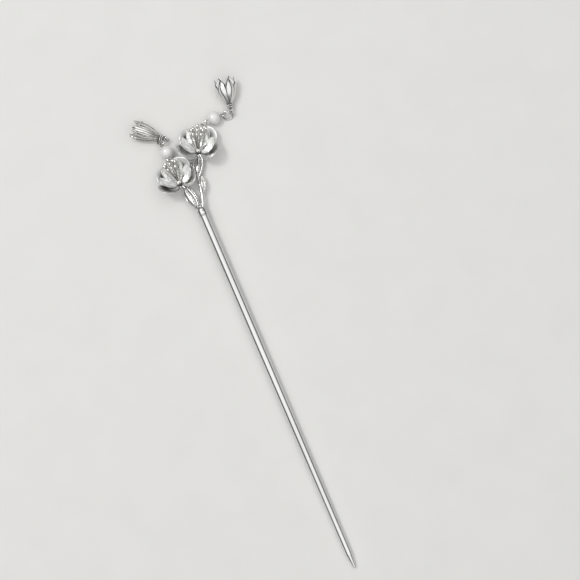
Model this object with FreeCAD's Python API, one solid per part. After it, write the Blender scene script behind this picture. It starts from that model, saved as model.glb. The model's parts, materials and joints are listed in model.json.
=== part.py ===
"""Hair pin: a tapered shaft with two flower sprigs, each with a hanging pearl and a tulip bud.

The pin lies on a table, which is z = 0. The shaft runs along Y with its point towards -Y.
Places are first given in the head frame, whose origin is under the joint of shaft and collar,
and everything is moved by HEAD_PLACE when it is written, which puts the origin under the middle
of the whole pin. Lengths are millimetres and angles are degrees.
"""
import FreeCAD, Part
import os
from math import acos, asin, cos, degrees, pi, radians, sin, sqrt

V = FreeCAD.Vector
UP = V(0, 0, 1)

# ---- driving dimensions -------------------------------------------------------------------------
HEAD_PLACE = V(-8.4, 49.3, -0.05)

SHAFT_RADIUS = 1.6
SHAFT_LENGTH = 145.2
SHAFT_GRIP_LENGTH = 60.0
SHAFT_POINT_RADIUS = 1.25
SHAFT_POINT_LENGTH = 5.7
SHAFT_NOSE_RADIUS = 0.5
COLLAR_HEIGHT = 3.3
SPIGOT_RADIUS = 1.0
SPIGOT_LENGTH = 2.0
SOCKET_SLACK = 0.05

COLLAR_RADIUS = 1.95
COLLAR_LENGTH = 2.6
COLLAR_NECK_RADIUS = 1.3
COLLAR_NECK_LENGTH = 0.9

LEAF_THICKNESS = 1.0
LEAF_FLOOR = 0.35
LEAF_RIM = 0.55
MIDRIB_WIDTH = 0.3
MIDRIB_HEIGHT = 0.3
STEM_RADIUS = 0.66
TENDRIL_CURL = 0.7
TENDRIL_RADIUS = 0.22

CUP_TILT = 58.0
CUP_HOLE_RADIUS = 0.72
CUP_WALL = 0.45
PETAL_SWELL = 0.45
PETAL_NOTCH = 0.3
OUTER_CUP = {"radius": 8.1, "depth": 9.0, "rim": 68.0, "lift": 0.0}
INNER_CUP = {"radius": 6.4, "depth": 8.6, "rim": 76.0, "lift": 0.48}
PEG_RADIUS = 0.6
PEG_LENGTH = 1.75
CALYX_RADIUS = 1.25
CALYX_THICKNESS = 0.5

STAMEN_CORE_RADIUS = 0.95
STAMEN_CORE_BASE = 1.07
STAMEN_CORE_TOP = 2.4
STAMEN_COUNT = 9
STAMEN_REACH = 10.8
STAMEN_SPREAD = 2.2
STAMEN_LEAN = 1.9
FILAMENT_RADIUS = 0.2
ANTHER_RADIUS = 0.75

PEARL_RADIUS = 2.6
PEARL_BORE_RADIUS = 0.31
PEARL_WIRE_RADIUS = 0.25
NECK_REACH = 2.9
PEARL_EYE_RADIUS = 0.95
PEARL_EYE_REACH = 3.88
EYELET_RADIUS = 0.92
EYELET_WIRE_RADIUS = 0.25

JUMP_RING_RADIUS = 1.95
JUMP_WIRE_RADIUS = 0.3
TABLE_GAP = 0.05

TULIP_EYE_RADIUS = 0.98
TULIP_EYE_WIRE_RADIUS = 0.25
CAP_START = 1.0
CAP_END = 2.9
CAP_RADIUS = 1.0
CAP_BEAD_RADIUS = 0.32
CAP_BEADS = 8
CAP_ROWS = 2
CAP_PEG_RADIUS = 0.42
CAP_PEG_LENGTH = 0.8
BUD_NECK_RADIUS = 0.9
BUD_MOUTH_RADIUS = 2.45
BUD_SWELL = 1.45
BUD_FLARE = 0.55
BUD_WALL = 0.4
BUD_PETALS = 6
BUD_NOTCH = 0.72

# The two flowers: where the stem meets the cup, which way it opens over the table, how big it is,
# and the petals of its two cups as (middle azimuth, half width, length).
LEFT_FLOWER = {
    "base": V(-3.65, 15.0, 1.7), "heading": V(-0.06, 0.998, 0), "scale": 0.96,
    "outer": [(-66, 36, 1.0), (-138, 36, 1.0), (149, 37, 1.1), (76, 36, 0.8)],
    "inner": [(-96, 27, 1.0), (-149, 26, 1.0), (157.5, 27.5, 1.05), (97, 33, 1.0)]}
RIGHT_FLOWER = {
    "base": V(7.6, 23.4, 1.7), "heading": V(0.396, 0.918, 0), "scale": 1.0,
    "outer": [(-66, 36, 1.0), (-138, 36, 1.0), (149, 37, 1.1), (73, 39, 0.93)],
    "inner": [(-96, 27, 1.0), (-149, 26, 1.0), (157.5, 27.5, 1.05), (97, 33, 1.0)]}

# The two charms: eyelet, pearl, jump ring's eye-to-eye chord end, and the bud's direction.
LEFT_CHARM = {
    "hook": V(-3.2, 23.85, 1.55), "hook_axis": V(0.998, -0.06, 0), "pearl": V(-3.6, 28.3, 2.65),
    "wire": V(-0.24, 0.97, -0.06), "loop": 0.85, "chord": V(2.75, 1.0, -0.05), "ring_side": 1,
    "bud": V(-0.755, 0.65, 0.105), "bud_length": 10.9, "bud_phase": 0.0}
RIGHT_CHARM = {
    "hook": V(12.75, 32.0, 3.15), "hook_axis": V(-0.42, 0.8, -0.43), "pearl": V(18.25, 33.5, 2.65),
    "wire": V(0.997, -0.03, -0.07), "loop": 1.1, "chord": V(3.3, -0.1, -0.02),
    "ring_side": -1, "bud": V(0.188, 0.978, 0.105), "bud_length": 10.1, "bud_phase": 0.5}


# ---- general shapes -----------------------------------------------------------------------------
def unit(vector):
    """The vector at length one."""
    return vector * (1.0 / vector.Length)


def square_to(vector, direction):
    """The part of vector at right angles to a unit direction, at length one."""
    return unit(vector - direction * vector.dot(direction))


def rod(start, end, radius, end_radius=None):
    """A straight round rod, or a cone when its two radii differ."""
    run = end - start
    if end_radius is None or abs(end_radius - radius) < 1e-6:
        return Part.makeCylinder(radius, run.Length, start, run)
    return Part.makeCone(radius, end_radius, run.Length, start, run)


def ball(centre, radius, pole=UP):
    """A whole sphere with its pole towards a direction."""
    return Part.makeSphere(radius, centre, pole)


def wire_ring(centre, normal, mean_radius, wire_radius):
    """A closed ring of round wire."""
    return Part.makeTorus(mean_radius, wire_radius, centre, normal)


def fused(shapes):
    """One solid from overlapping solids."""
    joined = shapes[0].multiFuse(shapes[1:])
    return joined.removeSplitter()


def twig(points, radii):
    """A bent twig: tapered rods with a ball at every bend."""
    pieces = []
    for start, end, r_start, r_end in zip(points, points[1:], radii, radii[1:]):
        pieces.append(rod(start, end, r_start, r_end))
    for point, following, radius in zip(points[1:-1], points[2:], radii[1:-1]):
        pieces.append(ball(point, radius, following - point))
    return pieces


# ---- shaft and collar ---------------------------------------------------------------------------
def shaft_axis():
    """Unit vector from the collar to the point. The shoulder of the point rests on the table."""
    shoulder = SHAFT_LENGTH - SHAFT_POINT_LENGTH
    fall = COLLAR_HEIGHT - SHAFT_POINT_RADIUS - TABLE_GAP
    slope = asin(fall / shoulder)
    return V(0, -cos(slope), -sin(slope))


def turned(profile, origin, axis):
    """Revolve a (distance along, radius) profile about an axis."""
    side = square_to(UP, axis)
    points = [origin + axis * along + side * radius for along, radius in profile]
    outline = Part.makePolygon(points + [points[0]])
    return Part.Face(outline).revolve(origin, axis, 360)


def pin_shaft():
    """The rod: spigot, parallel grip, long taper, conical point and round nose."""
    taper_end = SHAFT_LENGTH - SHAFT_POINT_LENGTH
    nose_centre = SHAFT_LENGTH - SHAFT_NOSE_RADIUS
    profile = [
        (-SPIGOT_LENGTH, 0), (-SPIGOT_LENGTH, SPIGOT_RADIUS), (0, SPIGOT_RADIUS),
        (0, SHAFT_RADIUS), (SHAFT_GRIP_LENGTH, SHAFT_RADIUS), (taper_end, SHAFT_POINT_RADIUS),
        (nose_centre, SHAFT_NOSE_RADIUS), (nose_centre, 0)]
    origin = V(0, 0, COLLAR_HEIGHT)
    axis = shaft_axis()
    nose = ball(origin + axis * nose_centre, SHAFT_NOSE_RADIUS, axis)
    return fused([turned(profile, origin, axis), nose])


def collar_blank():
    """The socket collar before the sprigs are let into it."""
    top = COLLAR_LENGTH
    bore = SPIGOT_RADIUS + SOCKET_SLACK
    depth = SPIGOT_LENGTH + SOCKET_SLACK
    profile = [
        (0, bore), (0, COLLAR_RADIUS), (top - 0.6, COLLAR_RADIUS),
        (top, COLLAR_NECK_RADIUS), (top + COLLAR_NECK_LENGTH, COLLAR_NECK_RADIUS * 0.7),
        (top + COLLAR_NECK_LENGTH, 0), (depth, 0), (depth, bore)]
    return turned(profile, V(0, 0, COLLAR_HEIGHT), shaft_axis() * -1)


# ---- sprigs -------------------------------------------------------------------------------------
def almond(foot, tip, left_width, right_width):
    """Face between two arcs that meet at the foot and the tip of a leaf."""
    along = unit(tip - foot)
    left = square_to(V(-along.y, along.x, 0), along)
    middle = (foot + tip) * 0.5
    left_arc = Part.Arc(foot, middle + left * left_width, tip).toShape()
    right_arc = Part.Arc(tip, middle - left * right_width, foot).toShape()
    return Part.Face(Part.Wire([left_arc, right_arc]))


def dished_leaf(foot, tip, left_width, right_width):
    """A leaf with a raised rim, a dished middle and a midrib. foot and tip lie on its underside."""
    along = unit(tip - foot)
    left = square_to(V(-along.y, along.x, 0), along)
    face_up = along.cross(left) * -1
    if face_up.z < 0:
        face_up = face_up * -1
    plate = almond(foot, tip, left_width, right_width).extrude(face_up * LEAF_THICKNESS)
    inset = LEAF_RIM * 2.4
    floor = face_up * LEAF_FLOOR
    pocket_foot = foot + along * inset + floor
    pocket_tip = tip - along * inset + floor
    pocket = almond(pocket_foot, pocket_tip, left_width - LEAF_RIM, right_width - LEAF_RIM)
    plate = plate.cut(pocket.extrude(face_up * LEAF_THICKNESS))
    rib_foot = foot + along * LEAF_RIM + floor
    rib_length = (tip - foot).Length - 2 * LEAF_RIM
    rib = Part.makeBox(MIDRIB_WIDTH, rib_length, MIDRIB_HEIGHT)
    turn = FreeCAD.Rotation(left * -1, along, face_up, "ZXY")
    rib.Placement = FreeCAD.Placement(rib_foot + left * (MIDRIB_WIDTH / 2), turn)
    return plate.fuse(rib)


def calyx(flower):
    """Button under a flower with the peg that goes through both cups."""
    frame = cup_frame(flower)
    base = flower["base"]
    axis = frame["axis"]
    button = rod(base - axis * CALYX_THICKNESS, base - axis * 0.02, CALYX_RADIUS)
    peg = rod(base - axis * CALYX_THICKNESS, base + axis * PEG_LENGTH * flower["scale"], PEG_RADIUS)
    return [button, peg]


def left_sprig():
    """Foot, one leaf, neck and calyx of the left branch."""
    leaf_foot = V(-0.8, 3.5, 2.5)
    leaf_tip = V(-2.65, 13.9, 1.3)
    seat = LEFT_FLOWER["base"] - cup_frame(LEFT_FLOWER)["axis"] * CALYX_THICKNESS
    shapes = twig([V(-0.2, 2.45, 3.3), V(-0.72, 3.45, 3.12), V(-0.95, 4.9, 2.9)], [0.6, 0.64, 0.5])
    shapes += twig([V(-2.4, 12.8, 1.9), V(-2.9, 14.1, 1.6), seat], [0.5, 0.5, 0.45])
    shapes.append(dished_leaf(leaf_foot, leaf_tip, 1.95, 2.1))
    return fused(shapes + calyx(LEFT_FLOWER))


def right_sprig():
    """Stem, two leaves, neck and calyx of the right branch."""
    stem = [V(0.25, 2.45, 3.3), V(1.1, 3.7, 3.2), V(2.1, 6.3, 3.1), V(2.9, 9.6, 2.8),
            V(3.3, 12.2, 2.6), V(3.8, 14.7, 2.4), V(4.5, 16.9, 2.2)]
    seat = RIGHT_FLOWER["base"] - cup_frame(RIGHT_FLOWER)["axis"] * CALYX_THICKNESS
    shapes = twig(stem, [0.66, 0.72, STEM_RADIUS, STEM_RADIUS, 0.6, 0.55, 0.4])
    shapes += twig([V(7.0, 21.9, 1.75), V(7.35, 22.8, 1.5), seat], [0.5, 0.5, 0.45])
    shapes.append(dished_leaf(V(3.1, 8.3, 2.5), V(4.9, 15.0, 2.1), 0.95, 1.55))
    shapes.append(dished_leaf(V(4.0, 15.2, 1.85), V(7.4, 22.85, 1.08), 1.75, 1.7))
    return fused(shapes + calyx(RIGHT_FLOWER))


def wire_tendril():
    """Curled wire between the left flower and the right sprig."""
    first = V(2.75, 21.6, 2.2)
    second = V(3.75, 18.0, 2.2)
    shapes = [wire_ring(centre, UP, TENDRIL_CURL, TENDRIL_RADIUS) for centre in (first, second)]
    link = [first + V(0.25, -TENDRIL_CURL, 0), V(3.3, 19.9, 2.3), second + V(-0.2, TENDRIL_CURL, 0)]
    shapes += twig(link, [TENDRIL_RADIUS] * 3)
    shapes.append(rod(first + V(TENDRIL_CURL, 0, 0), V(4.7, 20.7, 2.0), TENDRIL_RADIUS))
    shapes.append(rod(second + V(TENDRIL_CURL, 0, 0), V(5.1, 18.3, 2.1), TENDRIL_RADIUS))
    return fused(shapes)


# ---- flowers ------------------------------------------------------------------------------------
def cup_frame(flower):
    """Directions of a flower: along its axis, across to the open side, and to its right."""
    heading = unit(flower["heading"])
    tilt = radians(CUP_TILT)
    return {"axis": heading * cos(tilt) + UP * sin(tilt),
            "open": heading * -sin(tilt) + UP * cos(tilt),
            "side": V(heading.y, -heading.x, 0)}


def cup_point(flower, cup, azimuth, angle, wall, swell):
    """Point of a cup's skin. angle is 0 at the bottom and grows up the side."""
    frame = cup_frame(flower)
    scale = flower["scale"]
    reach = ((cup["radius"] - wall) * sin(angle) + swell) * scale
    height = (cup["lift"] + cup["depth"] - (cup["depth"] - wall) * cos(angle)) * scale
    turn = radians(azimuth)
    across = frame["open"] * cos(turn) + frame["side"] * sin(turn)
    return flower["base"] + frame["axis"] * height + across * reach


def with_gap(petals):
    """The petals and the low stretch of rim that closes the ring at the open side."""
    first = petals[0][0] + petals[0][1]
    last = petals[-1][0] - petals[-1][1]
    return petals + [((first + last) / 2, (last - first) / 2, 0.0)]


def rim_share(across, length):
    """How far up the cup a petal's edge stands. across is -1 to 1 over its width."""
    dome = max(0.0, 1.0 - abs(across) ** 2.6) ** 0.6
    return PETAL_NOTCH + (length - PETAL_NOTCH) * dome if length else PETAL_NOTCH


def cup_wire(flower, cup, petals, share, wall):
    """Closed wire round a cup at a share of the way from its hole to its rim."""
    edges = []
    samples = 12
    hole_angle = asin(CUP_HOLE_RADIUS / (cup["radius"] - wall))
    for centre, half_width, length in with_gap(petals):
        points = []
        for step in range(samples + 1):
            across = -cos(pi * step / samples)
            rim_angle = radians(cup["rim"]) * rim_share(across, length)
            angle = hole_angle + share * (rim_angle - hole_angle)
            swell = PETAL_SWELL * (1 - across ** 2) * share if length else 0.0
            azimuth = centre - across * half_width
            points.append(cup_point(flower, cup, azimuth, angle, wall, swell))
        curve = Part.BSplineCurve()
        curve.interpolate(points)
        edges.append(curve.toShape())
    return Part.Wire(edges)


def skin_between(outer, inner):
    """Closed solid between two stacks of matching wires."""
    shells = [Part.makeLoft(outer, False, False), Part.makeLoft(inner, False, False)]
    shells.append(Part.makeLoft([outer[-1], inner[-1]], False, True))
    shells.append(Part.makeLoft([outer[0], inner[0]], False, True))
    faces = [face for shell in shells for face in shell.Faces]
    sewn = Part.makeCompound(faces)
    sewn.sewShape(0.001)
    solid = Part.makeSolid(sewn.Shells[0])
    if solid.Volume < 0:
        solid.reverse()
    return solid


def petal_cup(flower, cup, petals):
    """One cup of petals: a thin skin with a hole at its bottom and a low side."""
    shares = [0.0, 0.2, 0.4, 0.6, 0.8, 1.0]
    outer = [cup_wire(flower, cup, petals, share, 0.0) for share in shares]
    inner = [cup_wire(flower, cup, petals, share, CUP_WALL) for share in shares]
    return skin_between(outer, inner)


def stamens(flower):
    """Core over the peg with a bunch of filaments that end in balls."""
    frame = cup_frame(flower)
    scale = flower["scale"]
    axis = frame["axis"]
    base = flower["base"]
    core = rod(base + axis * STAMEN_CORE_BASE * scale, base + axis * STAMEN_CORE_TOP * scale,
               STAMEN_CORE_RADIUS)
    shapes = [core]
    root = base + axis * (STAMEN_CORE_TOP - 0.2) * scale
    for index in range(STAMEN_COUNT):
        turn = 2 * pi * index / (STAMEN_COUNT - 1)
        spread = STAMEN_SPREAD if index < STAMEN_COUNT - 1 else 0.0
        across = frame["open"] * (cos(turn) * spread - STAMEN_LEAN) + frame["side"] * sin(turn) * spread
        rise = STAMEN_REACH - 0.8 * (index % 2)
        head = base + axis * rise + across
        foot = root + across * 0.2
        shapes.append(rod(foot, head, FILAMENT_RADIUS))
        shapes.append(ball(head, ANTHER_RADIUS))
    whole = fused(shapes)
    socket = rod(base, base + axis * (PEG_LENGTH + 0.05) * scale, PEG_RADIUS + SOCKET_SLACK)
    return whole.cut(socket)


# ---- eyelets and charms -------------------------------------------------------------------------
def charm_places(charm):
    """Every centre and direction of a charm, worked out along its chain."""
    wire = unit(charm["wire"])
    pearl = charm["pearl"]
    neck = pearl - wire * NECK_REACH
    hook = charm["hook"]
    pull = unit(neck - hook)
    hook_axis = square_to(charm["hook_axis"], pull)
    eye = pearl + wire * PEARL_EYE_REACH
    bud_eye = eye + charm["chord"]
    chord = unit(charm["chord"])
    half_chord = charm["chord"].Length / 2
    sagitta = (JUMP_RING_RADIUS ** 2 - half_chord ** 2) ** 0.5
    middle = (eye + bud_eye) * 0.5
    drop = (middle.z - JUMP_WIRE_RADIUS - TABLE_GAP) / (JUMP_RING_RADIUS + sagitta)
    level = V(-chord.y, chord.x, 0) * charm["ring_side"]
    lean = unit(unit(level) * (1 - drop ** 2) ** 0.5 - UP * drop)
    lean = square_to(lean, chord)
    ring_centre = middle + lean * sagitta
    ring_normal = unit(chord.cross(lean))
    tangent_at_eye = unit(ring_normal.cross(eye - ring_centre))
    tangent_at_bud = unit(ring_normal.cross(bud_eye - ring_centre))
    bud = unit(charm["bud"])
    return {"hook": hook, "hook_axis": hook_axis, "pull": pull,
            "neck": neck, "wire": wire, "pearl": pearl, "eye": eye,
            "eye_normal": square_to(tangent_at_eye, wire), "ring_centre": ring_centre,
            "ring_normal": ring_normal, "bud_eye": bud_eye, "bud": bud,
            "bud_eye_normal": square_to(tangent_at_bud, bud)}


def eyelet(places):
    """Small closed eye that is soldered to the flower."""
    return wire_ring(places["hook"], places["hook_axis"], EYELET_RADIUS, EYELET_WIRE_RADIUS)


def pearl_wire(charm, places):
    """Wire through the pearl: a drop-shaped loop at the flower and a round eye at the far end."""
    pull = places["pull"]
    normal = places["hook_axis"].cross(pull)
    radius = charm["loop"]
    centre = places["hook"] + pull * radius
    neck = places["neck"]
    distance = (neck - centre).Length
    opening = degrees(acos(radius / distance))
    across = unit(normal.cross(pull))
    cosine, sine = cos(radians(opening)), sin(radians(opening))
    touch_a = centre + (pull * cosine + across * sine) * radius
    touch_b = centre + (pull * cosine - across * sine) * radius
    start_way = unit(touch_a - neck)
    disc = Part.Face(Part.Wire(Part.Circle(touch_a, start_way, PEARL_WIRE_RADIUS).toShape()))
    turn_axis = unit((touch_a - centre).cross(start_way))
    bend = disc.revolve(centre, turn_axis, 360 - 2 * opening)
    shapes = [bend, rod(neck, touch_a, PEARL_WIRE_RADIUS), rod(neck, touch_b, PEARL_WIRE_RADIUS)]
    shapes.append(ball(neck, PEARL_WIRE_RADIUS))
    eye_edge = places["eye"] - places["wire"] * PEARL_EYE_RADIUS
    shapes.append(rod(neck, eye_edge, PEARL_WIRE_RADIUS))
    shapes.append(wire_ring(places["eye"], places["eye_normal"], PEARL_EYE_RADIUS, PEARL_WIRE_RADIUS))
    return fused(shapes)


def pearl(places):
    """Round bead drilled through, turned about the wire."""
    centre, wire = places["pearl"], places["wire"]
    out = square_to(UP, wire)
    mouth = wire * sqrt(PEARL_RADIUS ** 2 - PEARL_BORE_RADIUS ** 2)
    near = centre - mouth + out * PEARL_BORE_RADIUS
    far = centre + mouth + out * PEARL_BORE_RADIUS
    outside = Part.Arc(near, centre + out * PEARL_RADIUS, far).toShape()
    inside = Part.makeLine(far, near)
    return Part.Face(Part.Wire([outside, inside])).revolve(centre, wire, 360)


def jump_ring(places):
    """The ring between the pearl's eye and the bud's eye."""
    return wire_ring(places["ring_centre"], places["ring_normal"], JUMP_RING_RADIUS, JUMP_WIRE_RADIUS)


def tulip_cap(places):
    """Cap of the bud: eye, collar with rows of grains, and the peg that holds the bud."""
    eye, bud = places["bud_eye"], places["bud"]
    side = square_to(UP, bud)
    other = bud.cross(side)
    shapes = [wire_ring(eye, places["bud_eye_normal"], TULIP_EYE_RADIUS, TULIP_EYE_WIRE_RADIUS)]
    shapes.append(rod(eye + bud * CAP_START, eye + bud * CAP_END, CAP_RADIUS * 0.7, CAP_RADIUS))
    shapes.append(rod(eye + bud * (CAP_END - 0.1), eye + bud * (CAP_END + CAP_PEG_LENGTH), CAP_PEG_RADIUS))
    for row in range(CAP_ROWS):
        along = CAP_START + 0.65 + row * 0.75
        ring_radius = CAP_RADIUS * (0.85 + 0.1 * row)
        for index in range(CAP_BEADS):
            turn = 2 * pi * (index + 0.5 * row) / CAP_BEADS
            out = side * cos(turn) + other * sin(turn)
            shapes.append(ball(eye + bud * along + out * ring_radius, CAP_BEAD_RADIUS, out))
    return fused(shapes)


def bud_point(charm, places, turn, share, wall):
    """Point of the bud's skin. share is 0 at its neck and 1 at its mouth."""
    bud = places["bud"]
    side = square_to(UP, bud)
    other = bud.cross(side)
    flare = BUD_FLARE * max(0.0, (share - 0.8) / 0.2) ** 2
    reach = BUD_NECK_RADIUS + (BUD_MOUTH_RADIUS - BUD_NECK_RADIUS) * share + flare
    reach += BUD_SWELL * sin(pi * min(share, 1.0)) - wall
    lift = CAP_END + 0.02 + charm["bud_length"] * share + wall * (1 - share)
    start = places["bud_eye"] + bud * lift
    return start + (side * cos(turn) + other * sin(turn)) * reach


def bud_wire(charm, places, share, wall):
    """Closed wire round the bud. Its height follows the petals' tips at the mouth."""
    edges = []
    samples = 8
    sector = 2 * pi / BUD_PETALS
    for petal in range(BUD_PETALS):
        points = []
        for step in range(samples + 1):
            across = -cos(pi * step / samples)
            rim = BUD_NOTCH + (1 - BUD_NOTCH) * (1 - abs(across) ** 1.5)
            turn = sector * (petal + charm["bud_phase"] + across / 2)
            points.append(bud_point(charm, places, turn, share * rim, wall))
        curve = Part.BSplineCurve()
        curve.interpolate(points)
        edges.append(curve.toShape())
    return Part.Wire(edges)


def tulip_bud(charm, places):
    """Hollow bud with pointed petals round its mouth."""
    shares = [0.0, 0.15, 0.3, 0.5, 0.7, 0.85, 1.0]
    outer = [bud_wire(charm, places, share, 0.0) for share in shares]
    inner = [bud_wire(charm, places, share, BUD_WALL) for share in shares]
    return skin_between(outer, inner)


# ---- assembly -----------------------------------------------------------------------------------
def charm_parts(side, charm):
    """The five pieces of one hanging charm."""
    places = charm_places(charm)
    return {side + "_pearl_wire": pearl_wire(charm, places),
            side + "_pearl": pearl(places),
            side + "_jump_ring": jump_ring(places),
            side + "_tulip_cap": tulip_cap(places),
            side + "_tulip_bud": tulip_bud(charm, places)}


def flower_parts(side, flower, charm):
    """The cups, stamens and eyelet of one flower."""
    outer = petal_cup(flower, OUTER_CUP, flower["outer"])
    inner = petal_cup(flower, INNER_CUP, flower["inner"])
    loop = eyelet(charm_places(charm)).cut(outer)
    loop = max(loop.Solids, key=lambda solid: solid.Volume)
    return {side + "_outer_petals": outer, side + "_inner_petals": inner,
            side + "_stamens": stamens(flower), side + "_eyelet": loop}


def head_parts():
    """Shaft, collar, sprigs, solder bead and tendril, each cut clear of the one before."""
    shaft = pin_shaft()
    left = left_sprig()
    right = right_sprig().cut(left)
    collar = collar_blank().cut(left).cut(right)
    bead = ball(V(0.12, 3.75, 3.1), 0.8, V(0, 1, 0)).cut(left).cut(right).cut(collar)
    tendril = wire_tendril().cut(right)
    parts = {"pin_shaft": shaft, "socket_collar": collar, "solder_bead": bead,
             "left_sprig": left, "right_sprig": right, "wire_tendril": tendril}
    return {name: max(shape.Solids, key=lambda solid: solid.Volume) for name, shape in parts.items()}


def main():
    """Build every piece and write one STEP file for each."""
    os.makedirs("parts", exist_ok=True)
    parts = head_parts()
    parts.update(flower_parts("left", LEFT_FLOWER, LEFT_CHARM))
    parts.update(flower_parts("right", RIGHT_FLOWER, RIGHT_CHARM))
    parts.update(charm_parts("left", LEFT_CHARM))
    parts.update(charm_parts("right", RIGHT_CHARM))
    for name, shape in parts.items():
        moved = shape.copy()
        moved.translate(HEAD_PLACE)
        moved.exportStep("parts/" + name + ".step")
    return parts


main()
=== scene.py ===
"""Looks of the silver hair pin: cast leaves and petals, stamens, veined tulip buds and pearls.

Shapes are laid out in millimetres in the head frame, whose origin is under the joint of shaft and
collar, and are moved by HEAD_PLACE and scaled to metres when their mesh is made.
"""
import json
from math import asin, cos, exp, pi, radians, sin

import bmesh
import bpy
from mathutils import Matrix, Vector, noise


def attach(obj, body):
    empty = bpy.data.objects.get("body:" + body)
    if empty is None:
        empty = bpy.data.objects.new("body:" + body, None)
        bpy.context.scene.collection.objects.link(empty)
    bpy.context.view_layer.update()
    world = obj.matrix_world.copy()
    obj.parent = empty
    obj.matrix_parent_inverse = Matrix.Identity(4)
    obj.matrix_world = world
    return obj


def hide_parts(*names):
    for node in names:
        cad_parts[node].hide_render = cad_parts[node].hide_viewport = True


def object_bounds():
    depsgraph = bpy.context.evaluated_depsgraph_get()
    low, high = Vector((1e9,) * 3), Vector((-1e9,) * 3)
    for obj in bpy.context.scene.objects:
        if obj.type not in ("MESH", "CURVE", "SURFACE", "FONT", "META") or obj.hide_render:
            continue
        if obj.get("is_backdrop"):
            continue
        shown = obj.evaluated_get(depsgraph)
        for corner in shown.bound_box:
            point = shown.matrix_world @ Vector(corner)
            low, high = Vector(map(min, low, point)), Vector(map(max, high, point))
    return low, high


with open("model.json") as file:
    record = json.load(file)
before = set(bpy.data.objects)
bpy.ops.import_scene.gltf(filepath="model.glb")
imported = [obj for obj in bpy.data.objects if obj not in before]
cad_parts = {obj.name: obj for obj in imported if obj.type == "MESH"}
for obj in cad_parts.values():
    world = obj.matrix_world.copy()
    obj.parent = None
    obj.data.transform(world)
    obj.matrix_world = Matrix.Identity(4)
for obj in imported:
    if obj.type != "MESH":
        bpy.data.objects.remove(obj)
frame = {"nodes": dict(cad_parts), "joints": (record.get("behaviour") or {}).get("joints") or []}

CAD_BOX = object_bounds()
V = Vector
UP = V((0, 0, 1))
MM = 0.001
HEAD_PLACE = V((-8.4, 49.3, -0.05))

# ---- dimensions shared with the model -----------------------------------------------------------
CUP_TILT = 58.0
HOLE_RADIUS = 0.72
CUP_WALL = 0.45
PETAL_SWELL = 0.45
PETAL_NOTCH = 0.3
OUTER_CUP = {"radius": 8.1, "depth": 9.0, "rim": 68.0, "lift": 0.0, "lip": 0.9}
INNER_CUP = {"radius": 6.4, "depth": 8.6, "rim": 76.0, "lift": 0.48, "lip": 0.25}
# Petals are (middle azimuth, half width, length). Next to the outer petals each flower lists how much
# painted shade darkens the inside of each outer petal, in the crevice between the two cups.
INNER_PETALS = [(-96, 27, 1.0), (-149, 26, 1.0), (157.5, 27.5, 1.05), (97, 33, 1.0)]
LEFT_FLOWER = {
    "base": V((-3.65, 15.0, 1.7)), "heading": V((-0.06, 0.998, 0)), "scale": 0.96,
    "outer": [(-66, 36, 1.0), (-138, 36, 1.0), (149, 37, 1.1), (76, 36, 0.8)],
    "gap_shades": (0.7, 0.95, 0.2, 0.1),
    "inner": INNER_PETALS}
RIGHT_FLOWER = {
    "base": V((7.6, 23.4, 1.7)), "heading": V((0.396, 0.918, 0)), "scale": 1.0,
    "outer": [(-66, 36, 1.0), (-138, 36, 1.0), (149, 37, 1.1), (73, 39, 0.93)],
    "gap_shades": (0.2, 0.95, 0.2, 0.1),
    "inner": INNER_PETALS}
CALYX_RADIUS = 1.25
CALYX_THICKNESS = 0.5
EYE_RADIUS = 0.98
EYE_WIRE_RADIUS = 0.25
GRAIN_RADIUS = 0.34
CAP_GRAINS = 8
CAP_ROWS = 2
CAP_FIRST_ROW = 1.65
CAP_ROW_STEP = 0.75

STAMEN_COUNT = 9
STAMEN_REACH = 10.8
STAMEN_SPREAD = 2.2
STAMEN_LEAN = 1.9
FILAMENT_RADIUS = 0.2
ANTHER_RADIUS = 0.78

TABLE_REST = 0.3
BUD_START = 2.92
BUD_NECK_RADIUS = 0.9
BUD_MOUTH_RADIUS = 2.45
BUD_FLARE = 0.55
BUD_WALL = 0.4
BUD_PETALS = 6
BUD_NOTCH = 0.72
LEFT_BUD = V((-0.755, 0.65, 0.105)).normalized()
RIGHT_BUD = V((0.188, 0.978, 0.105)).normalized()

# ---- camera -------------------------------------------------------------------------------------
CAMERA_PLACE = V((10.32, -59.15, 421.42))
CAMERA_AZIMUTH = -23.3
CAMERA_ELEVATION = 87.0
CAMERA_LENS = 68.24


# ---- mesh helpers -------------------------------------------------------------------------------
def metres(point):
    """A place in the head frame, in millimetres, as metres in the row's frame."""
    return (point + HEAD_PLACE) * MM


def square_to(vector, direction):
    """The part of vector at right angles to a unit direction, at length one."""
    return (vector - direction * vector.dot(direction)).normalized()


def new_bmesh():
    """An empty bmesh with a layer for how much tarnish and painted shade darken each vertex."""
    bm = bmesh.new()
    bm.verts.layers.float.new("recess")
    bm.loops.layers.uv.new("UVMap")
    return bm


def lay(bm, rows, wrap=False, recess=None):
    """Add a grid of quads through rows of points. wrap joins the ends of each row."""
    depth = bm.verts.layers.float["recess"]
    uv = bm.loops.layers.uv["UVMap"]
    last_row, last_point = len(rows) - 1, len(rows[0]) - 1
    grid = []
    for i, row in enumerate(rows):
        line = [bm.verts.new(metres(point)) for point in row]
        for j, vert in enumerate(line):
            vert[depth] = recess(i / last_row, j / last_point) if recess else 0.0
        grid.append(line)
    columns = last_point + 1 if wrap else last_point
    for i in range(last_row):
        for j in range(columns):
            k = (j + 1) % (last_point + 1)
            face = bm.faces.new((grid[i][j], grid[i][k], grid[i + 1][k], grid[i + 1][j]))
            face.smooth = True
            corners = ((j, i), (j + 1, i), (j + 1, i + 1), (j, i + 1))
            for loop, (across, along) in zip(face.loops, corners):
                loop[uv].uv = (across / columns, along / last_row)
    return grid


def close_end(bm, ring):
    """Fill a ring of vertices."""
    face = bm.faces.new(ring)
    face.smooth = True


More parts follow.
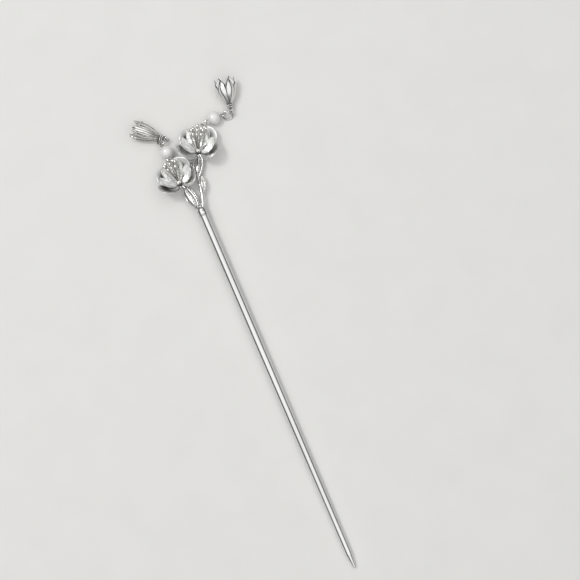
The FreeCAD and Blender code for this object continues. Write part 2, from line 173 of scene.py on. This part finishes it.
def smooth_path(points, steps):
    """Catmull-Rom curve through values, which may be vectors or numbers."""
    out = []
    padded = [points[0] * 2 - points[1]] + list(points) + [points[-1] * 2 - points[-2]]
    for i in range(1, len(padded) - 2):
        p0, p1, p2, p3 = padded[i - 1:i + 3]
        for step in range(steps):
            t = step / steps
            out.append(((p1 * 2) + (p2 - p0) * t + (p0 * 2 - p1 * 5 + p2 * 4 - p3) * t ** 2
                        + (p1 * 3 - p0 - p2 * 3 + p3) * t ** 3) * 0.5)
    out.append(points[-1])
    return out


def path_frames(path):
    """Sideways directions along a path that do not twist."""
    frames = []
    side = None
    for i in range(len(path)):
        way = (path[min(i + 1, len(path) - 1)] - path[max(i - 1, 0)]).normalized()
        if side is None:
            side = UP if abs(way.z) < 0.9 else V((1, 0, 0))
        side = square_to(side, way)
        frames.append((side, way.cross(side)))
    return frames


def bar(bm, points, radii, steps=6, sides=18, recess=None):
    """A bent round bar through points with a radius at each, closed at both ends."""
    path = smooth_path(points, steps)
    thickness = smooth_path(radii, steps)
    rows = []
    for centre, radius, (side, other) in zip(path, thickness, path_frames(path)):
        turns = [2 * pi * k / sides for k in range(sides)]
        rows.append([centre + (side * cos(t) + other * sin(t)) * radius for t in turns])
    grid = lay(bm, rows, wrap=True, recess=recess)
    close_end(bm, grid[0])
    close_end(bm, grid[-1])


def turned(bm, origin, axis, profile, sides=36, recess=None):
    """A shape of revolution from (distance along, radius) pairs."""
    side = square_to(UP if abs(axis.z) < 0.9 else V((1, 0, 0)), axis)
    other = axis.cross(side)
    rows = []
    for along, radius in profile:
        turns = [2 * pi * k / sides for k in range(sides)]
        rows.append([origin + axis * along + (side * cos(t) + other * sin(t)) * radius
                     for t in turns])
    grid = lay(bm, rows, wrap=True, recess=recess)
    close_end(bm, grid[0])
    close_end(bm, grid[-1])


def finish_piece(bm, name, material, body, replaces, wall=0.0, levels=1):
    """Turn a bmesh into a named piece that rides on a body and stands for CAD nodes."""
    bmesh.ops.recalc_face_normals(bm, faces=bm.faces)
    mesh = bpy.data.meshes.new(name)
    bm.to_mesh(mesh)
    bm.free()
    piece = bpy.data.objects.new(name, mesh)
    bpy.context.scene.collection.objects.link(piece)
    piece.data.materials.append(material)
    if wall:
        thick = piece.modifiers.new("wall", "SOLIDIFY")
        thick.thickness = wall * MM
        thick.offset = 0.0
        thick.use_even_offset = True
    if levels:
        soft = piece.modifiers.new("soft", "SUBSURF")
        soft.levels = levels
        soft.render_levels = levels
    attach(piece, body)
    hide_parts(*replaces)
    return piece


def ripple(point, size, amount):
    """A small uneven offset that belongs to a place on the object."""
    return noise.noise(point / size) * amount


# ---- materials ----------------------------------------------------------------------------------
def node(tree, kind, **values):
    """Add a shader node and set its properties and inputs by name."""
    made = tree.nodes.new(kind)
    for key, value in values.items():
        if hasattr(made, key):
            setattr(made, key, value)
        else:
            made.inputs[key].default_value = value
    return made


def new_material(name):
    """A material with an empty principled shader."""
    material = bpy.data.materials.new(name)
    material.use_nodes = True
    tree = material.node_tree
    return material, tree, tree.nodes["Principled BSDF"]


def ramp(tree, source, stops):
    """A colour ramp on a value, from (place, grey or colour) stops."""
    made = tree.nodes.new("ShaderNodeValToRGB")
    elements = made.color_ramp.elements
    while len(elements) < len(stops):
        elements.new(0.5)
    for element, (place, value) in zip(elements, stops):
        element.position = place
        colour = value if isinstance(value, tuple) else (value, value, value)
        element.color = (*colour, 1.0)
    tree.links.new(source, made.inputs["Fac"])
    return made.outputs["Color"]


def grain(tree, scale, detail, stretch=(1, 1, 1)):
    """Noise in the object's own place, in features per metre."""
    place = tree.nodes.new("ShaderNodeTexCoord")
    mapping = tree.nodes.new("ShaderNodeMapping")
    mapping.inputs["Scale"].default_value = stretch
    tree.links.new(place.outputs["Object"], mapping.inputs["Vector"])
    made = node(tree, "ShaderNodeTexNoise", Scale=scale, Detail=detail)
    tree.links.new(mapping.outputs["Vector"], made.inputs["Vector"])
    return made.outputs["Fac"]


def mixed(tree, factor, first, second):
    """Mix of two colours by a factor. Each colour is a socket or a tuple."""
    made = tree.nodes.new("ShaderNodeMix")
    made.data_type = "RGBA"
    tree.links.new(factor, made.inputs["Factor"])
    for value, place in ((first, 6), (second, 7)):
        if isinstance(value, tuple):
            made.inputs[place].default_value = (*value, 1.0)
        else:
            tree.links.new(value, made.inputs[place])
    return made.outputs[2]


def bumped(tree, height, strength, distance, under=None):
    """A bump from a height, over an earlier bump if there is one."""
    made = node(tree, "ShaderNodeBump", Strength=strength, Distance=distance)
    tree.links.new(height, made.inputs["Height"])
    if under:
        tree.links.new(under, made.inputs["Normal"])
    return made.outputs["Normal"]


def uv_lines(tree, count, waver, blur):
    """Engraved lines that run lengthwise along a piece's own UV map, uneven like hand work."""
    place = tree.nodes.new("ShaderNodeUVMap")
    place.uv_map = "UVMap"
    split = tree.nodes.new("ShaderNodeSeparateXYZ")
    tree.links.new(place.outputs["UV"], split.inputs["Vector"])
    wander = node(tree, "ShaderNodeTexNoise", Scale=waver, Detail=2.0)
    tree.links.new(place.outputs["UV"], wander.inputs["Vector"])
    shifted = node(tree, "ShaderNodeMath", operation="MULTIPLY_ADD")
    tree.links.new(wander.outputs["Fac"], shifted.inputs[0])
    shifted.inputs[1].default_value = 0.1
    tree.links.new(split.outputs["X"], shifted.inputs[2])
    scaled = node(tree, "ShaderNodeMath", operation="MULTIPLY")
    tree.links.new(shifted.outputs[0], scaled.inputs[0])
    scaled.inputs[1].default_value = count * 2 * pi
    wave = node(tree, "ShaderNodeMath", operation="SINE")
    tree.links.new(scaled.outputs[0], wave.inputs[0])
    sharp = node(tree, "ShaderNodeMapRange")
    tree.links.new(wave.outputs[0], sharp.inputs["Value"])
    sharp.inputs["From Min"].default_value = -1.0
    sharp.inputs["From Max"].default_value = blur
    return sharp.outputs["Result"]


def silver(name, bright, dark, rough, mottle=1300.0, dent=0.25, lines=None):
    """Plated cast silver, slightly uneven: bright where the recess layer is zero, darker where it is
    higher, from tarnish and painted shade.
    """
    material, tree, shader = new_material(name)
    shader.inputs["Metallic"].default_value = 1.0
    tone = ramp(tree, grain(tree, mottle * 0.4, 3.0), [
        (0.3, tuple(c * 0.9 for c in bright)), (0.7, bright)])
    # The recess layer mixes in the dark colour: tarnish, and painted shade in hollows, creases and
    # between parts.
    recess = tree.nodes.new("ShaderNodeAttribute")
    recess.attribute_name = "recess"
    colour = mixed(tree, recess.outputs["Fac"], tone, dark)
    bump = bumped(tree, grain(tree, mottle, 3.0), dent, 0.00006)
    if lines:
        cut = uv_lines(tree, *lines)
        # The engraved lines are painted darker, not only bumped: painted shade in the cut lines.
        groove_shade = ramp(tree, cut, [(0.0, 0.35), (0.5, 1.0)])
        shade = tree.nodes.new("ShaderNodeMix")
        shade.data_type = "RGBA"
        shade.blend_type = "MULTIPLY"
        shade.inputs["Factor"].default_value = 1.0
        tree.links.new(colour, shade.inputs[6])
        tree.links.new(groove_shade, shade.inputs[7])
        colour = shade.outputs[2]
        bump = bumped(tree, cut, 0.7, 0.0002, bump)
    tree.links.new(colour, shader.inputs["Base Color"])
    wear = ramp(tree, grain(tree, mottle * 0.7, 4.0), [(0.3, rough * 0.75), (0.7, rough * 1.3)])
    tree.links.new(wear, shader.inputs["Roughness"])
    tree.links.new(bump, shader.inputs["Normal"])
    return material


def drawn_silver(name):
    """The shaft: plated bar, polished along its length with fine drawn streaks."""
    material, tree, shader = new_material(name)
    shader.inputs["Metallic"].default_value = 1.0
    streaks = grain(tree, 900.0, 4.0, (1.0, 0.02, 1.0))
    tone = ramp(tree, streaks, [(0.35, (0.66, 0.66, 0.65)), (0.6, (0.78, 0.78, 0.77))])
    tree.links.new(tone, shader.inputs["Base Color"])
    wear = ramp(tree, streaks, [(0.3, 0.1), (0.7, 0.2)])
    tree.links.new(wear, shader.inputs["Roughness"])
    normal = bumped(tree, streaks, 0.18, 0.00004)
    normal = bumped(tree, grain(tree, 260.0, 2.0), 0.1, 0.0001, normal)
    tree.links.new(normal, shader.inputs["Normal"])
    return material


def pearl_lustre(name):
    """White pearl: a cloudy body under a clear glossy skin."""
    material, tree, shader = new_material(name)
    cloud = grain(tree, 420.0, 3.0)
    tone = ramp(tree, cloud, [(0.3, (0.76, 0.755, 0.74)), (0.7, (0.85, 0.845, 0.83))])
    tree.links.new(tone, shader.inputs["Base Color"])
    shine = ramp(tree, grain(tree, 700.0, 3.0), [(0.3, 0.16), (0.7, 0.26)])
    tree.links.new(shine, shader.inputs["Roughness"])
    shader.inputs["Specular IOR Level"].default_value = 0.7
    shader.inputs["Coat Weight"].default_value = 1.0
    shader.inputs["Coat Roughness"].default_value = 0.06
    normal = bumped(tree, grain(tree, 1500.0, 3.0), 0.06, 0.00005)
    tree.links.new(normal, shader.inputs["Normal"])
    return material


def paper_floor(name):
    """Pale matt paper with a faint tooth."""
    material, tree, shader = new_material(name)
    tone = ramp(tree, grain(tree, 60.0, 3.0), [(0.3, (0.755, 0.75, 0.73)), (0.7, (0.775, 0.77, 0.75))])
    tree.links.new(tone, shader.inputs["Base Color"])
    shader.inputs["Roughness"].default_value = 0.95
    shader.inputs["Specular IOR Level"].default_value = 0.15
    return material


# The dark colour of the recess layer: tarnish in the hollows, and painted shade.
TARNISH_AND_SHADE = (0.06, 0.055, 0.05)
MATERIALS = {
    "petal": silver("petal_silver", (0.93, 0.93, 0.915), TARNISH_AND_SHADE, 0.28, mottle=900.0, dent=0.15),
    "outer_petal": silver("outer_petal_silver", (0.93, 0.93, 0.915), TARNISH_AND_SHADE, 0.45, 900.0, 0.15),
    "leaf": silver("leaf_silver", (0.7, 0.7, 0.685), TARNISH_AND_SHADE, 0.16, mottle=1500.0, dent=0.15),
    "stamen": silver("stamen_silver", (0.84, 0.83, 0.79), TARNISH_AND_SHADE, 0.14, mottle=2600.0, dent=0.35),
    "veined": silver("veined_silver", (0.92, 0.905, 0.865), TARNISH_AND_SHADE, 0.22, 1200.0, 0.2,
                     (5.0, 3.0, 0.4)),
    "tulip": silver("tulip_silver", (0.78, 0.78, 0.765), TARNISH_AND_SHADE, 0.2, mottle=1100.0, dent=0.15),
    "wire": silver("wire_silver", (0.62, 0.61, 0.59), TARNISH_AND_SHADE, 0.13, mottle=2600.0, dent=0.2),
    "collar": silver("collar_silver", (0.72, 0.72, 0.705), TARNISH_AND_SHADE, 0.17, mottle=1800.0, dent=0.2),
    "shaft": drawn_silver("shaft_silver"),
    "pearl": pearl_lustre("pearl_lustre"),
}


# ---- flowers ------------------------------------------------------------------------------------
def cup_frame(flower):
    """Directions of a flower: along its axis, across to the open side, and to its right."""
    heading = flower["heading"].normalized()
    tilt = radians(CUP_TILT)
    return {"axis": heading * cos(tilt) + UP * sin(tilt),
            "open": heading * -sin(tilt) + UP * cos(tilt),
            "side": V((heading.y, -heading.x, 0))}


def petal_rows(flower, cup, petal, overlap):
    """Middle surface of one petal, from the cup's bottom to its lip."""
    frame_of_cup = cup_frame(flower)
    scale = flower["scale"]
    centre, half_width, length = petal
    radius = cup["radius"] - CUP_WALL / 2
    depth = cup["depth"] - CUP_WALL / 2
    hole = asin(HOLE_RADIUS / radius)
    rows = []
    steps_up, steps_across = 22, 20
    for up in range(steps_up + 1):
        share = up / steps_up
        row = []
        for step in range(steps_across + 1):
            across = -cos(pi * step / steps_across)
            dome = max(0.0, 1 - abs(across) ** 2.6) ** 0.6
            rim = PETAL_NOTCH + (length - PETAL_NOTCH) * dome
            angle = hole + share * (radians(cup["rim"]) * rim - hole)
            swell = PETAL_SWELL * (1 - across ** 2) * share
            crease = -0.16 * exp(-(across / 0.16) ** 2) * sin(pi * share) ** 0.7
            flutes = 0.05 * sin(across * 6.0 + centre) * share * (1 - 0.5 * share)
            lip = cup["lip"] * max(0.0, (share - 0.7) / 0.3) ** 2
            layer = overlap * across * share * 0.5
            turn = radians(centre - across * half_width * (1 + 0.24 * share))
            reach = (radius * sin(angle) + swell + crease + flutes + lip + layer) * scale
            height = (cup["lift"] + cup["depth"] - depth * cos(angle)) * scale
            out = frame_of_cup["open"] * cos(turn) + frame_of_cup["side"] * sin(turn)
            point = flower["base"] + frame_of_cup["axis"] * height + out * reach
            point += out * ripple(point, 2.2, 0.16 * share)
            point.z = max(point.z, TABLE_REST)
            row.append(point)
        rows.append(row)
    return rows


def petal_recess(gap):
    """Tarnish and painted shade at the bottom of a cup and along a petal's edges, and painted shade in
    the crevice under the rim of the next cup, as strong as the given value.
    """
    def recess(share, across):
        bottom = max(0.0, 1 - share / 0.12) * 0.7
        edge = max(0.0, abs(across - 0.5) * 2 - 0.88) / 0.12
        # Painted shade in the crevice between the cups, stronger on the petals given more of it.
        gap_shade = gap * exp(-((share - 0.72) / 0.17) ** 4)
        return min(1.0, bottom + edge * 0.6 * (1 - share) + gap_shade)
    return recess


def whorl(name, flower, cup, petals, material, overlap, gap_shades):
    """One cup of petals, each its own thin sheet."""
    bm = new_bmesh()
    for petal, gap in zip(petals, gap_shades):
        lay(bm, petal_rows(flower, cup, petal, overlap), recess=petal_recess(gap))
    finish_piece(bm, name + "_cast", material, "pin", [name], wall=0.34)


def stamen_cluster(name, flower):
    """Filaments that rise together from the cup's bottom and end in round anthers."""
    directions = cup_frame(flower)
    axis, base, scale = directions["axis"], flower["base"], flower["scale"]
    bm = new_bmesh()
    root = base + axis * 2.1 * scale
    # Tarnish and painted shade darken the base and filaments towards the cup's bottom, and each anther
    # where its filament joins.
    turned(bm, base + axis * 1.0 * scale, axis, [
        (0.0, 0.6), (0.1, 0.9), (0.5, 1.0), (1.0, 0.9), (1.4, 0.6), (1.5, 0.2)],
        recess=lambda along, around: 0.6 * (1 - along))
    for index in range(STAMEN_COUNT):
        turn = 2 * pi * index / (STAMEN_COUNT - 1)
        spread = STAMEN_SPREAD if index < STAMEN_COUNT - 1 else 0.0
        across = directions["open"] * (cos(turn) * spread - STAMEN_LEAN)
        across += directions["side"] * sin(turn) * spread
        head = base + axis * (STAMEN_REACH - 0.8 * (index % 2)) + across
        foot = root + across * 0.2
        knee = foot.lerp(head, 0.55) - across * 0.12
        bar(bm, [foot, knee, head], [0.26, FILAMENT_RADIUS, FILAMENT_RADIUS], sides=12,
            recess=lambda along, around: 0.75 * (1 - along))
        way = (head - knee).normalized()
        size = ANTHER_RADIUS * (1 + 0.12 * sin(index * 2.3))
        anther = [(-size * cos(a), max(0.05, size * sin(a) * (1 + 0.06 * cos(4 * a))))
                  for a in (pi * k / 14 for k in range(15))]
        turned(bm, head, way, anther, sides=20,
               recess=lambda along, around: 0.8 * max(0.0, 0.35 - along))
    finish_piece(bm, name + "_cast", MATERIALS["stamen"], "pin", [name])


# ---- sprigs -------------------------------------------------------------------------------------
def leaf_section(left, right, thick):
    """Half-rounded rims, dished floor and midrib of a leaf as (across, up) pairs, all round."""
    def side(width):
        inset = min(1.0, width / 1.3)
        return [(width - 0.1 * inset, 0.12), (width, 0.45), (width - 0.08 * inset, 0.85),
                (width - 0.3 * inset, 1.0), (width - 0.46 * inset, 0.84),
                (width - 0.58 * inset, 0.45), (width - 0.7 * inset, 0.22)]
    right_side = [(-across, up) for across, up in side(right)]
    middle = [(-0.14, 0.28), (-0.06, 0.46), (0.06, 0.46), (0.14, 0.28)]
    section = [(0.0, 0.0), (left * 0.6, 0.02)] + side(left)
    section += [(0.42 * left, 0.2)] + middle[::-1] + [(-0.42 * right, 0.2)]
    section += right_side[::-1] + [(-right * 0.6, 0.02)]
    return [(across, up * thick) for across, up in section]


def leaf(bm, foot, tip, left_width, right_width, arch):
    """A cast leaf from foot to tip, widest in the middle, with its dish facing up."""
    along = (tip - foot).normalized()
    left = square_to(V((-along.y, along.x, 0)), along)
    up = left.cross(along) * -1
    if up.z < 0:
        up = up * -1
    rows = []
    stations = 26
    for station in range(stations + 1):
        t = station / stations
        bulge = max(0.0, 4 * t * (1 - t)) ** 0.8
        section = leaf_section(0.4 + left_width * bulge, 0.4 + right_width * bulge,
                               0.75 + 0.35 * bulge)
        centre = foot.lerp(tip, t) + up * arch * sin(pi * t)
        rows.append([centre + left * across + up * (height - 0.1) for across, height in section])

    # Tarnish and painted shade along the inner foot of each rim, the dark lines in the leaf's dish.
    def recess(share, around):
        inside = exp(-((around - 0.4) / 0.04) ** 2) + exp(-((around - 0.645) / 0.035) ** 2)
        return min(1.0, inside * sin(pi * share) ** 0.3)
    grid = lay(bm, rows, wrap=True, recess=recess)
    close_end(bm, grid[0])
    close_end(bm, grid[-1])


def calyx(bm, flower):
    """Round button under a flower, parted into five small sepals only by darker stripes of tarnish and
    painted shade.
    """
    axis = cup_frame(flower)["axis"]
    base = flower["base"] - axis * CALYX_THICKNESS
    turned(bm, base, axis, [(-0.25, 0.3), (-0.15, 0.7), (0.05, 1.05), (0.25, 1.2),
                            (0.42, CALYX_RADIUS), (0.5, 1.1), (0.52, 0.4)],
           recess=lambda along, around: 0.5 * max(0.0, sin(around * 10 * pi)))


def left_branch():
    """Foot, leaf, neck and calyx of the left branch."""
    bm = new_bmesh()
    bar(bm, [V((0.1, 1.9, 3.3)), V((-0.2, 2.5, 3.25)), V((-0.75, 3.5, 3.05)), V((-1.0, 5.0, 2.8))],
        [0.55, 0.66, 0.7, 0.45])
    leaf(bm, V((-0.8, 3.5, 2.5)), V((-2.65, 13.9, 1.3)), 1.8, 1.85, 0.25)
    neck = LEFT_FLOWER["base"] - cup_frame(LEFT_FLOWER)["axis"] * CALYX_THICKNESS
    bar(bm, [V((-2.4, 12.8, 1.9)), V((-2.9, 14.0, 1.75)), neck], [0.5, 0.5, 0.5])
    calyx(bm, LEFT_FLOWER)
    finish_piece(bm, "left_sprig_cast", MATERIALS["leaf"], "pin", ["left_sprig"])


def right_branch():
    """Stem, two leaves, neck and calyx of the right branch."""
    bm = new_bmesh()
    stem = [V((0.1, 1.9, 3.3)), V((0.4, 2.7, 3.3)), V((1.1, 3.7, 3.2)), V((2.1, 6.3, 3.1)),
            V((2.9, 9.6, 2.8)), V((3.3, 12.2, 2.6)), V((3.8, 14.7, 2.4)), V((4.5, 16.9, 2.2))]
    bar(bm, stem, [0.6, 0.68, 0.74, 0.66, 0.66, 0.6, 0.56, 0.4])
    leaf(bm, V((3.1, 8.3, 2.5)), V((4.9, 15.0, 2.1)), 0.7, 1.3, 0.15)
    leaf(bm, V((4.0, 15.2, 1.85)), V((7.4, 22.85, 1.08)), 1.6, 1.5, 0.25)
    strand = [V((4.1, 14.7, 2.4)), V((6.2, 17.1, 2.3)), V((7.8, 19.8, 2.1)), V((8.0, 21.8, 1.9)),
              V((7.6, 23.0, 1.7))]
    bar(bm, strand, [0.5, 0.5, 0.46, 0.42, 0.4])
    neck = RIGHT_FLOWER["base"] - cup_frame(RIGHT_FLOWER)["axis"] * CALYX_THICKNESS
    bar(bm, [V((7.0, 21.9, 1.75)), V((7.35, 22.8, 1.6)), neck], [0.5, 0.5, 0.5])
    calyx(bm, RIGHT_FLOWER)
    finish_piece(bm, "right_sprig_cast", MATERIALS["leaf"], "pin", ["right_sprig"])


def collar():
    """Ringed socket that holds the shaft, with its shoulder and two small rolled bands."""
    axis = V((0, 0.9999, 0.01434))
    profile = [(0.0, 1.1), (0.0, 1.7), (0.06, 1.88), (0.22, 1.96), (0.4, 1.9), (0.48, 1.78),
               (0.58, 1.84), (1.2, 1.9), (1.75, 1.86), (1.85, 1.76), (1.95, 1.84), (2.15, 1.86),
               (2.35, 1.8), (2.7, 1.74), (3.1, 1.6), (3.5, 1.25), (3.8, 0.8)]

    # Tarnish and painted shade on the end of the socket and in the two narrow dips beside the rolled
    # bands.
    def recess(share, around):
        return 0.9 if share < 0.1 or 0.3 < share < 0.36 or 0.58 < share < 0.64 else 0.0
    bm = new_bmesh()
    turned(bm, V((0, 0, 3.3)), axis, profile, sides=40, recess=recess)
    finish_piece(bm, "socket_collar_cast", MATERIALS["collar"], "pin",
                 ["socket_collar"])


def solder():
    """The bead of solder in the fork, with the small scroll eyes beside it."""
    bm = new_bmesh()
    centre = V((0.12, 3.75, 3.15))
    bead = [(-0.78 * cos(a), max(0.04, 0.78 * sin(a))) for a in (pi * k / 14 for k in range(15))]
    turned(bm, centre, V((0.2, 0.3, 1)).normalized(), bead, sides=24)
    for eye, size in ((V((-0.35, 4.45, 3.55)), 0.36), (V((0.75, 4.75, 3.6)), 0.3)):
        ring = [eye + V((cos(t), sin(t), 0)) * size for t in (2 * pi * k / 12 for k in range(13))]
        bar(bm, ring, [0.14] * 13, steps=3, sides=10)
    finish_piece(bm, "solder_bead_cast", MATERIALS["collar"], "pin",
                 ["solder_bead"])


# ---- tulip buds ---------------------------------------------------------------------------------
def bud_petal_rows(eye, bud, index, style):
    """Middle surface of one petal of a bud, from its neck to its pointed tip."""
    side = square_to(UP, bud)
    other = bud.cross(side)
    sector = 2 * pi / BUD_PETALS
    under = style["under"] if index % 2 else 0.0
    rows = []
    steps_up, steps_across = 30, 16
    for up in range(steps_up + 1):
        share = up / steps_up
        row = []
        for step in range(steps_across + 1):
            across = -cos(pi * step / steps_across)
            point_rim = BUD_NOTCH + (1 - BUD_NOTCH) * (1 - abs(across) ** 1.35)
            rise = share * point_rim
            flare = BUD_FLARE * max(0.0, (rise - 0.8) / 0.2) ** 2 + style["curl"] * share ** 12
            reach = BUD_NECK_RADIUS + (BUD_MOUTH_RADIUS - BUD_NECK_RADIUS) * rise + flare
            reach += style["swell"] * sin(pi * min(rise, 1.0)) - BUD_WALL / 2
            keel = style["keel"] * exp(-(across / style["keel_width"]) ** 2) * sin(pi * share) ** 0.5
            edge = style["edge"] * abs(across) ** 6 * share
            reach += keel + edge - under * min(1.0, share * 3) * (1 - 0.4 * abs(across))
            width = 0.5 * style["overlap"] * (1 - 0.12 * share)
            turn = sector * (index + style["phase"] + across * width)
            out = side * cos(turn) + other * sin(turn)
            lift = BUD_START + style["length"] * rise
            point = eye + bud * lift + out * reach
            point += out * ripple(point, 1.8, 0.1 * share)
            point.z = max(point.z, TABLE_REST)
            row.append(point)
        rows.append(row)
    return rows


def tulip(name, body, eye, bud, material, style):
    """A bud of overlapping petals round a hollow middle."""
    def recess(share, across):
        # Tarnish and painted shade along each petal's edges, where it meets the next, and at the neck.
        edge = max(0.0, abs(across - 0.5) * 2 - 0.78) / 0.22
        return min(1.0, 1.1 * edge + 0.6 * max(0.0, 1 - share / 0.1))
    bm = new_bmesh()
    for index in range(BUD_PETALS):
        lay(bm, bud_petal_rows(eye, bud, index, style), recess=recess)
    finish_piece(bm, name + "_cast", material, body, [name], wall=0.32)


def joint_named(name):
    """A joint's place in millimetres in the head frame, and its axis."""
    for joint in frame["joints"]:
        if joint["name"] == name:
            return V(joint["pos_m"]) / MM - HEAD_PLACE, V(joint["axis"]).normalized()
    raise ValueError(name)


def tulip_cap(name, body, eye, normal, bud):
    """Eye of round wire and a cone darkened all over by tarnish and painted shade, under rows of
    bright grains.
    """
    bm = new_bmesh()
    side = square_to(bud, normal)
    other = normal.cross(side)
    turns = [2 * pi * k / 16 for k in range(17)]
    ring = [eye + (side * cos(t) + other * sin(t)) * EYE_RADIUS for t in turns]
    bar(bm, ring, [EYE_WIRE_RADIUS] * len(ring), steps=3, sides=12)
    turned(bm, eye, bud, [(0.95, 0.3), (1.0, 0.62), (1.5, 0.8), (2.2, 0.84), (2.7, 0.95),
                          (2.9, 0.98), (3.1, 0.4)], recess=lambda along, around: 0.8)
    up = square_to(UP, bud)
    across = bud.cross(up)
    grain_profile = [(-GRAIN_RADIUS * cos(pi * k / 8), max(0.02, GRAIN_RADIUS * sin(pi * k / 8)))
                     for k in range(9)]
    for row in range(CAP_ROWS):
        for index in range(CAP_GRAINS):
            turn = 2 * pi * (index + 0.5 * row) / CAP_GRAINS
            out = up * cos(turn) + across * sin(turn)
            place = eye + bud * (CAP_FIRST_ROW + row * CAP_ROW_STEP) + out * (0.85 + 0.1 * row)
            turned(bm, place, out, grain_profile, sides=12)
    finish_piece(bm, name + "_cast", MATERIALS["collar"], body, [name])


# ---- carried-over nodes -------------------------------------------------------------------------
def dress(name, material):
    """Give a CAD node that keeps its shape one of the materials above."""
    obj = frame["nodes"][name]
    obj.data.materials.clear()
    obj.data.materials.append(material)


def dress_nodes():
    """Shaft, pearls and all the wire work."""
    dress("pin_shaft", MATERIALS["shaft"])
    dress("wire_tendril", MATERIALS["wire"])
    for side in ("left", "right"):
        dress(side + "_pearl", MATERIALS["pearl"])
        for part in ("_eyelet", "_pearl_wire", "_jump_ring"):
            dress(side + part, MATERIALS["wire"])


# ---- set ----------------------------------------------------------------------------------------
def camera():
    """The camera high over the table, turned so that the shaft runs to the lower right."""
    azimuth, elevation = radians(CAMERA_AZIMUTH), radians(CAMERA_ELEVATION)
    back = V((sin(azimuth) * cos(elevation), -cos(azimuth) * cos(elevation), sin(elevation)))
    right = V((cos(azimuth), sin(azimuth), 0))
    up = back.cross(right)
    data = bpy.data.cameras.new("camera")
    data.lens = CAMERA_LENS
    data.clip_start = 0.01
    turn = Matrix((right, up, back)).transposed().to_4x4()
    obj = bpy.data.objects.new("camera", data)
    obj.matrix_world = Matrix.Translation(metres(CAMERA_PLACE)) @ turn
    bpy.context.scene.collection.objects.link(obj)
    bpy.context.scene.camera = obj


def floor():
    """A wide pale sheet at the table's height."""
    bm = bmesh.new()
    bmesh.ops.create_grid(bm, x_segments=8, y_segments=8, size=1.5)
    mesh = bpy.data.meshes.new("floor")
    bm.to_mesh(mesh)
    bm.free()
    obj = bpy.data.objects.new("floor", mesh)
    obj.data.materials.append(paper_floor("paper"))
    bpy.context.scene.collection.objects.link(obj)
    obj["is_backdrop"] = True


def area_light(name, place, target, size, energy, colour=(1, 1, 1)):
    """A soft square light that faces a target."""
    data = bpy.data.lights.new(name, "AREA")
    data.shape = "RECTANGLE"
    data.size, data.size_y = size
    data.energy = energy
    data.color = colour
    obj = bpy.data.objects.new(name, data)
    obj.location = place
    obj.rotation_euler = (target - place).to_track_quat("-Z", "Y").to_euler()
    bpy.context.scene.collection.objects.link(obj)


def room(name, strength):
    """A white room, dark low down on the left and right and grey low down in front and behind."""
    world = bpy.data.worlds.new(name)
    world.use_nodes = True
    tree = world.node_tree
    place = tree.nodes.new("ShaderNodeTexCoord")
    split = tree.nodes.new("ShaderNodeSeparateXYZ")
    tree.links.new(place.outputs["Generated"], split.inputs["Vector"])
    ceiling = [(0.75, 1.0), (0.85, 1.2), (1.0, 1.2)]
    left = ramp(tree, split.outputs["Z"], [(0.0, 0.02), (0.45, 0.04), (0.62, 0.6)] + ceiling)
    right = ramp(tree, split.outputs["Z"], [(0.0, 0.08), (0.4, 0.12), (0.6, 0.6)] + ceiling)
    side = node(tree, "ShaderNodeMapRange")
    side.inputs["From Min"].default_value = -0.25
    side.inputs["From Max"].default_value = 0.25
    tree.links.new(split.outputs["X"], side.inputs["Value"])
    sides = mixed(tree, side.outputs["Result"], left, right)
    ends = ramp(tree, split.outputs["Z"], [(0.0, 0.3), (0.4, 0.4), (0.6, 0.65)] + ceiling)
    width = node(tree, "ShaderNodeMath", operation="ABSOLUTE")
    tree.links.new(split.outputs["X"], width.inputs[0])
    sideways = node(tree, "ShaderNodeMapRange")
    sideways.inputs["From Min"].default_value = 0.1
    sideways.inputs["From Max"].default_value = 0.4
    tree.links.new(width.outputs[0], sideways.inputs["Value"])
    colour = mixed(tree, sideways.outputs["Result"], ends, sides)
    background = tree.nodes["Background"]
    tree.links.new(colour, background.inputs["Color"])
    background.inputs["Strength"].default_value = strength
    bpy.context.scene.world = world


def studio():
    """A white room and one soft light from the upper left."""
    room("room", 1.0)
    area_light("key", V((-0.3, 0.4, 0.9)), V((0, 0.03, 0)), (0.25, 0.25), 2.6)
    bpy.context.scene.view_settings.view_transform = "Standard"


VEINED_STYLE = {"under": 0.18, "curl": 0.7, "keel": 0.12, "keel_width": 0.35, "edge": 0.1,
                "overlap": 1.1, "length": 10.9, "phase": 0.0, "swell": 1.45}
SMOOTH_STYLE = {"under": 0.05, "curl": 1.1, "keel": 0.45, "keel_width": 0.6, "edge": 0.1,
                "overlap": 1.0, "length": 10.1, "phase": 0.5, "swell": 1.8}

camera()
floor()
studio()
for side_name, blossom in (("left", LEFT_FLOWER), ("right", RIGHT_FLOWER)):
    whorl(side_name + "_outer_petals", blossom, OUTER_CUP, blossom["outer"],
          MATERIALS["outer_petal"], 0.3, blossom["gap_shades"])
    whorl(side_name + "_inner_petals", blossom, INNER_CUP, blossom["inner"],
          MATERIALS["petal"], 0.25, (0.0, 0.0, 0.0, 0.0))
    stamen_cluster(side_name + "_stamens", blossom)
left_branch()
right_branch()
collar()
solder()
for side_name, way, metal, manner in (("left", LEFT_BUD, "veined", VEINED_STYLE),
                                      ("right", RIGHT_BUD, "tulip", SMOOTH_STYLE)):
    eye_place, eye_axis = joint_named(side_name + "_tulip_swing")
    hanging = side_name + "_tulip"
    tulip(hanging + "_bud", hanging, eye_place, way, MATERIALS[metal], manner)
    tulip_cap(hanging + "_cap", hanging, eye_place, eye_axis, way)
dress_nodes()

boxes = {"cad": CAD_BOX, "visual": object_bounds()}
{key: [list(corner) for corner in box] for key, box in boxes.items()}
